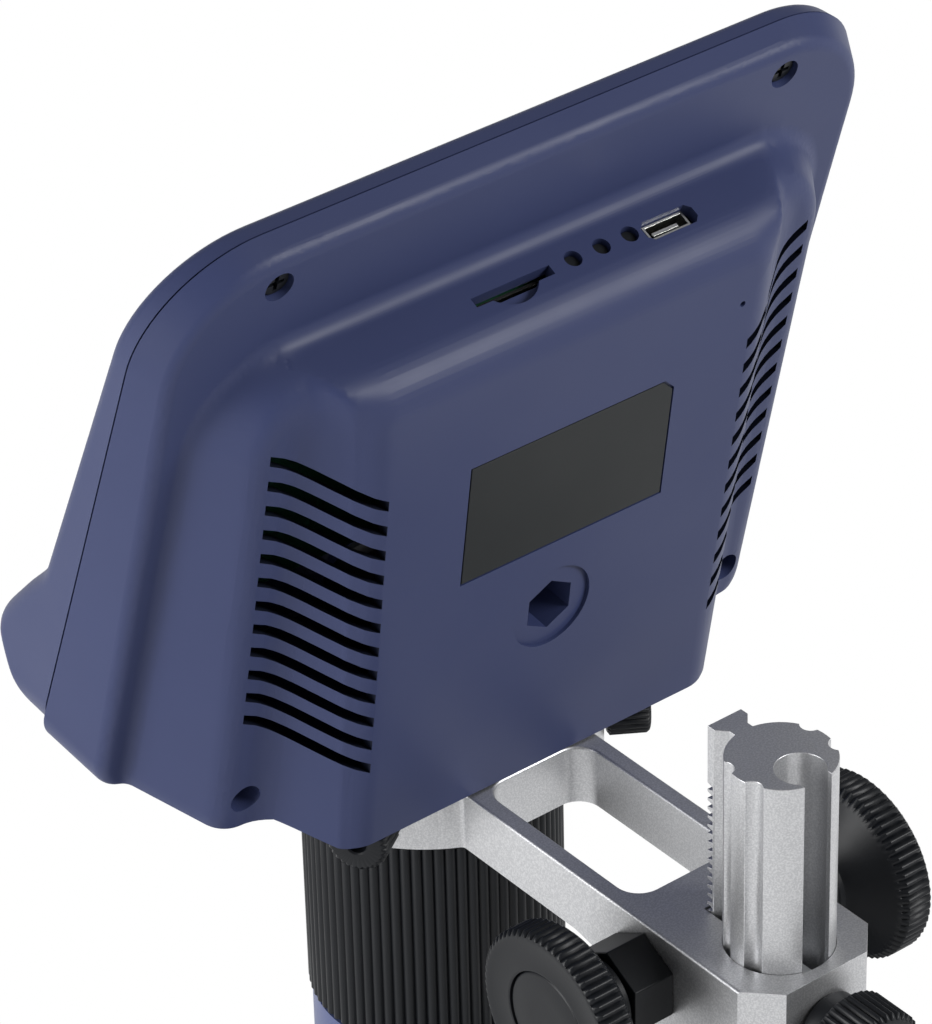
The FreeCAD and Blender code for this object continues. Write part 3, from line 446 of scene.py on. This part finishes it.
# %% Dress the pieces that show
edge_widths = {
    "arm_block": 0.35, "column": 0.12, "base_plate": 0.3, "shaft_bushes": 0.3, "rear_housing": 0.0,
    "front_bezel": 0.0, "label_plate": 0.08, "brake_pad": 0.2, "usb_port": 0.05, "housing_screws": 0.0,
    "lower_barrel": 0.0, "rubber_feet": 0.4, "screen_glass": 0.1,
}
for node, width in edge_widths.items():
    piece = soften_copy(node, width * MM)
    print(node, "faces", len(piece.data.polygons))

# %% [markdown]
# The ribbed ring, the two focus knobs and the three thumb screws are turned pieces with knurls. Each
# is a profile swept round an axis, and a knurl is a ripple of the radius. The ripple is made from a
# cosine: raised to a power under one it has round ribs with narrow grooves between.

# %% Turned surface
CREASE_OVER = math.radians(38)


def turned_grid(profile, ribs, depth, samples, sharp):
    """Points and quads of a surface of revolution about local +Z. The radius at angle a is
    r - depth * k * (1 - |cos(ribs * a / 2)| ** sharp), k being the knurl weight of the profile."""
    rows = np.array(profile, float)
    count = ribs * samples if ribs else samples
    a = np.arange(count) * 2 * np.pi / count
    z, r, k = rows[:, 0], rows[:, 1], rows[:, 2]
    wave = 1.0 - np.abs(np.cos(ribs * a / 2.0)) ** sharp if ribs else np.zeros(count)
    radius = r[:, None] - depth * k[:, None] * wave[None, :]
    pts = np.stack([radius * np.cos(a), radius * np.sin(a), np.broadcast_to(z[:, None], radius.shape)], -1)
    i = np.arange(len(rows) - 1)[:, None] * count
    j = np.arange(count)[None, :]
    nxt = (j + 1) % count
    quads = np.stack([i + j, i + nxt, i + count + nxt, i + count + j], -1).reshape(-1, 4)
    return pts.reshape(-1, 3), quads


def turned(name, grid, place, node, slot_name):
    """Mesh object from a turned grid, put in place by a matrix and standing in for a node."""
    flat, quads = grid
    home = np.array(place)
    flat = flat @ home[:3, :3].T + home[:3, 3]
    mesh = bpy.data.meshes.new(name)
    mesh.from_pydata(flat.tolist(), [], quads.tolist())
    bm = bmesh.new()
    bm.from_mesh(mesh)
    bmesh.ops.remove_doubles(bm, verts=bm.verts, dist=2e-6)
    bmesh.ops.recalc_face_normals(bm, faces=bm.faces)
    mark_smooth(bm, CREASE_OVER)
    bm.to_mesh(mesh)
    bm.free()
    piece = bpy.data.objects.new(name, mesh)
    bpy.context.scene.collection.objects.link(piece)
    wear(piece, slot_name)
    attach(piece, body_of_node[node])
    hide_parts(node)
    print(name, "faces", len(mesh.polygons))
    return piece


def axis_place(origin, axis):
    """Matrix that takes local +Z to axis and the local origin to origin."""
    turn = Vector((0, 0, 1)).rotation_difference(Vector(axis)).to_matrix().to_4x4()
    return Matrix.Translation(Vector(origin)) @ turn


def mm_rows(rows):
    """Profile rows (along, radius, knurl weight) with the first two turned from mm into metres."""
    return [(z * MM, r * MM, k) for z, r, k in rows]


# %% [markdown]
# The ring under the head turns to focus. Its ribs run nearly its whole height, between two plain
# collars, and are deeper than a knurl so that fingers can grip it.

# %% Ribbed focus ring
RING_RIBS, RIB_DEPTH = 72, 0.6 * MM
low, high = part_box("focus_ring")
length = (high.z - low.z) / MM
ring_rows = [
    (0.0, 17.35, 0), (0.0, 19.6, 0), (0.3, 20.2, 0), (0.7, 20.85, 1), (length - 3.0, 20.85, 1),
    (length - 2.2, 20.5, 1), (length - 2.0, 20.2, 0), (length - 0.3, 20.2, 0), (length, 19.9, 0),
    (length, 17.35, 0), (0.0, 17.35, 0),
]
turned("focus_ring_grip", turned_grid(mm_rows(ring_rows), RING_RIBS, RIB_DEPTH, 8, 0.7),
       axis_place((*BARREL_AXIS, low.z), (0, 0, 1)), "focus_ring", "black_plastic")

# %% [markdown]
# A focus knob is a shallow cone that ends in a knurled rim, with a recess on the outside that a
# separate cap fills. The profile starts at the bore on the arm's side and runs round the outline.

# %% Focus knobs and caps
KNOB_RIBS, KNURL_DEPTH = 66, 0.55 * MM
knob_rows = [
    (0.0, 3.05, 0), (0.0, 6.0, 0), (0.25, 6.25, 0), (1.2, 6.25, 0), (1.7, 6.8, 0), (5.0, 13.2, 0),
    (5.4, 13.9, 0), (5.7, 14.3, 1), (6.3, 14.95, 1), (10.4, 14.95, 1), (10.9, 14.5, 1), (11.1, 14.1, 0),
    (11.15, 13.6, 0), (11.0, 13.0, 0), (11.05, 9.0, 0), (11.1, 8.75, 0), (11.0, 8.55, 0), (9.8, 8.5, 0),
    (9.65, 8.4, 0), (9.65, 3.05, 0), (0.0, 3.05, 0),
]
cap_rows = [
    (0.0, 0.0, 0), (0.0, 8.3, 0), (0.9, 8.35, 0), (1.15, 8.15, 0), (1.25, 7.8, 0), (1.2, 4.0, 0),
    (1.2, 0.0, 0),
]
for side, name in ((1, "right"), (-1, "left")):
    outward = (side, 0, 0)
    turned("focus_knob_%s_knurled" % name, turned_grid(mm_rows(knob_rows), KNOB_RIBS, KNURL_DEPTH, 6, 1.0),
           axis_place((side * KNOB_START, *KNOB_AXIS), outward), "focus_knob_" + name, "black_plastic")
    turned("knob_cap_%s_disc" % name, turned_grid(mm_rows(cap_rows), 0, 0.0, 72, 1.0),
           axis_place((side * CAP_START, *KNOB_AXIS), outward), "knob_cap_" + name, "black_plastic")

# %% [markdown]
# Behind the block a thumb screw locks the arm on the column. Its shank goes through the wall and its
# knurled head has a small recess in the end.

# %% Lock screw
lock_rows = [
    (-6.2, 0, 0), (-6.2, 2.4, 0), (-3.9, 2.5, 0), (-3.9, 5.0, 0), (-3.6, 5.3, 0), (-0.2, 5.3, 0),
    (0.0, 5.6, 0), (0.1, 7.2, 0), (0.6, 7.75, 1), (7.3, 7.75, 1), (7.8, 7.3, 1), (7.95, 6.9, 0),
    (8.0, 6.4, 0), (8.0, 2.8, 0), (7.8, 2.45, 0), (6.9, 2.4, 0), (6.8, 0, 0),
]
turned("lock_screw_knurled", turned_grid(mm_rows(lock_rows), 40, 0.5 * MM, 6, 1.0),
       axis_place(LOCK_START, (0, 1, 0)), "lock_screw", "black_plastic")

# %% [markdown]
# Two smaller thumb screws press on the barrel from the sides of the clamp ring. They are the same
# piece, mirrored by their axes.

# %% Clamp screws
clamp_rows = [
    (-8.0, 0, 0), (-8.0, 1.85, 0), (0.0, 1.9, 0), (0.0, 4.3, 0), (0.4, 4.9, 1), (6.2, 4.9, 1),
    (6.7, 4.5, 1), (6.85, 4.0, 0), (6.85, 1.8, 0), (6.6, 1.55, 0), (3.7, 1.5, 0), (3.6, 0, 0),
]
for side, name in ((-1, "left"), (1, "right")):
    axis = (side * math.cos(CLAMP_LEAN), math.sin(CLAMP_LEAN), 0)
    start = (CLAMP_REACH * axis[0], BARREL_AXIS[1] + CLAMP_REACH * axis[1], CLAMP_HEIGHT)
    turned("clamp_screw_%s_knurled" % name, turned_grid(mm_rows(clamp_rows), 28, 0.4 * MM, 6, 1.0),
           axis_place(start, axis), "clamp_screw_" + name, "black_plastic")

# %% [markdown]
# The other solids are hidden or small, so they keep their own mesh and only take a finish.

# %% Finishes for the remaining solids
for node, obj in frame["nodes"].items():
    wear(obj, slot_of_node[node])
print("solids finished", len(frame["nodes"]))

# %% [markdown]
# The picture has a pure white background. Rays from the camera, from mirrors and through glass see
# the floor as plain white, and all others see a pale diffuse surface that throws soft light up.

# %% Floor
FLOOR_REACH, FLOOR_COLOUR = 6.0, (0.8, 0.8, 0.81)


def larger(tree, first, second):
    """Output socket with the larger of two values."""
    pick = tree.nodes.new("ShaderNodeMath")
    pick.operation = "MAXIMUM"
    tree.links.new(first, pick.inputs[0])
    tree.links.new(second, pick.inputs[1])
    return pick.outputs[0]


def pale(name, colour):
    """Diffuse pale surface that camera, glossy and transmission rays see as plain white."""
    mat = bpy.data.materials.new(name)
    mat.use_nodes = True
    tree = mat.node_tree
    n, link = tree.nodes, tree.links
    n["Principled BSDF"].inputs["Base Color"].default_value = (*colour, 1.0)
    n["Principled BSDF"].inputs["Roughness"].default_value = 0.8
    rays = n.new("ShaderNodeLightPath").outputs
    white, blend = n.new("ShaderNodeEmission"), n.new("ShaderNodeMixShader")
    direct = larger(tree, rays["Is Camera Ray"], rays["Is Glossy Ray"])
    link.new(larger(tree, direct, rays["Is Transmission Ray"]), blend.inputs[0])
    link.new(n["Principled BSDF"].outputs[0], blend.inputs[1])
    link.new(white.outputs[0], blend.inputs[2])
    link.new(blend.outputs[0], n["Material Output"].inputs["Surface"])
    return mat


r = FLOOR_REACH
floor_mesh = bpy.data.meshes.new("floor")
floor_mesh.from_pydata([(-r, -r, 0), (r, -r, 0), (r, r, 0), (-r, r, 0)], [], [(0, 1, 2, 3)])
floor = bpy.data.objects.new("floor", floor_mesh)
bpy.context.scene.collection.objects.link(floor)
floor.data.materials.append(pale("pale_floor", FLOOR_COLOUR))
print("floor spans", 2 * r, "m")

# %% [markdown]
# The sky is white to the camera and dim to everything else, so that the lamps decide where the light
# comes from and the dark blue keeps its depth.

# %% World
SKY_LIGHT, SKY_SEEN = 0.28, 1.0
world = bpy.data.worlds.new("studio")
bpy.context.scene.world = world
world.use_nodes = True
nodes, links = world.node_tree.nodes, world.node_tree.links
background = nodes["Background"]
background.inputs["Color"].default_value = (1.0, 1.0, 1.0, 1.0)
path = nodes.new("ShaderNodeLightPath")
level = nodes.new("ShaderNodeMapRange")
level.inputs["To Min"].default_value = SKY_LIGHT
level.inputs["To Max"].default_value = SKY_SEEN
links.new(path.outputs["Is Camera Ray"], level.inputs["Value"])
links.new(level.outputs["Result"], background.inputs["Strength"])
print("sky", SKY_LIGHT)

# %% [markdown]
# Two soft boxes do the rest. One stands high behind the head and draws the bright bands along its
# rounded edges. The other lights the side of the head that is nearest the camera.

# %% Lamps
MIDDLE = (0.0, 0.0, 0.19)


def lamp(name, place, size, power):
    """Rectangular area lamp at a place, turned towards the middle of the object."""
    light = bpy.data.lights.new(name, "AREA")
    light.shape, light.energy = "RECTANGLE", power
    light.size, light.size_y = size
    obj = bpy.data.objects.new(name, light)
    bpy.context.scene.collection.objects.link(obj)
    obj.location = place
    obj.rotation_euler = (Vector(MIDDLE) - Vector(place)).to_track_quat("-Z", "Y").to_euler()
    print(name, power, "W")


lamp("rear_softbox", (-0.62, 0.9, 0.82), (0.5, 0.5), 13.0)
lamp("side_softbox", (1.3, -0.25, 0.45), (0.6, 0.9), 20.0)

# %% [markdown]
# The camera was solved from the photograph: a long lens that looks down on the rear of the head. The
# three directions come from the solution, and a cross product makes them exactly square.

# %% Camera
RIGHT = np.array([-0.7803, 0.6251, -0.0231])
UP = np.array([-0.3587, -0.4168, 0.8353])
BACK = np.array([0.5124, 0.6600, 0.5494])
DISTANCE, SHIFT_RIGHT, SHIFT_UP = 777.988, -12.725, 14.031
SENSOR, FOCAL = 36.0, 183.74
eye = HEX_SOCKET + (BACK * DISTANCE + RIGHT * SHIFT_RIGHT + UP * SHIFT_UP) * MM
lens = bpy.data.cameras.new("photo_lens")
lens.sensor_fit, lens.sensor_width, lens.sensor_height = "AUTO", SENSOR, SENSOR
lens.lens = FOCAL
camera = bpy.data.objects.new("camera", lens)
bpy.context.scene.collection.objects.link(camera)
BACK = BACK / np.linalg.norm(BACK)
RIGHT = np.cross(UP, BACK)
RIGHT = RIGHT / np.linalg.norm(RIGHT)
UP = np.cross(BACK, RIGHT)
turn = np.stack([RIGHT, UP, BACK], 1)
camera.matrix_world = Matrix([[*row, place] for row, place in zip(turn, eye)] + [[0, 0, 0, 1]])
lens.clip_start, lens.clip_end = 0.05, 20.0
bpy.context.scene.camera = camera
bpy.context.scene.view_settings.view_transform = "Standard"
print("camera at", eye.round(3))
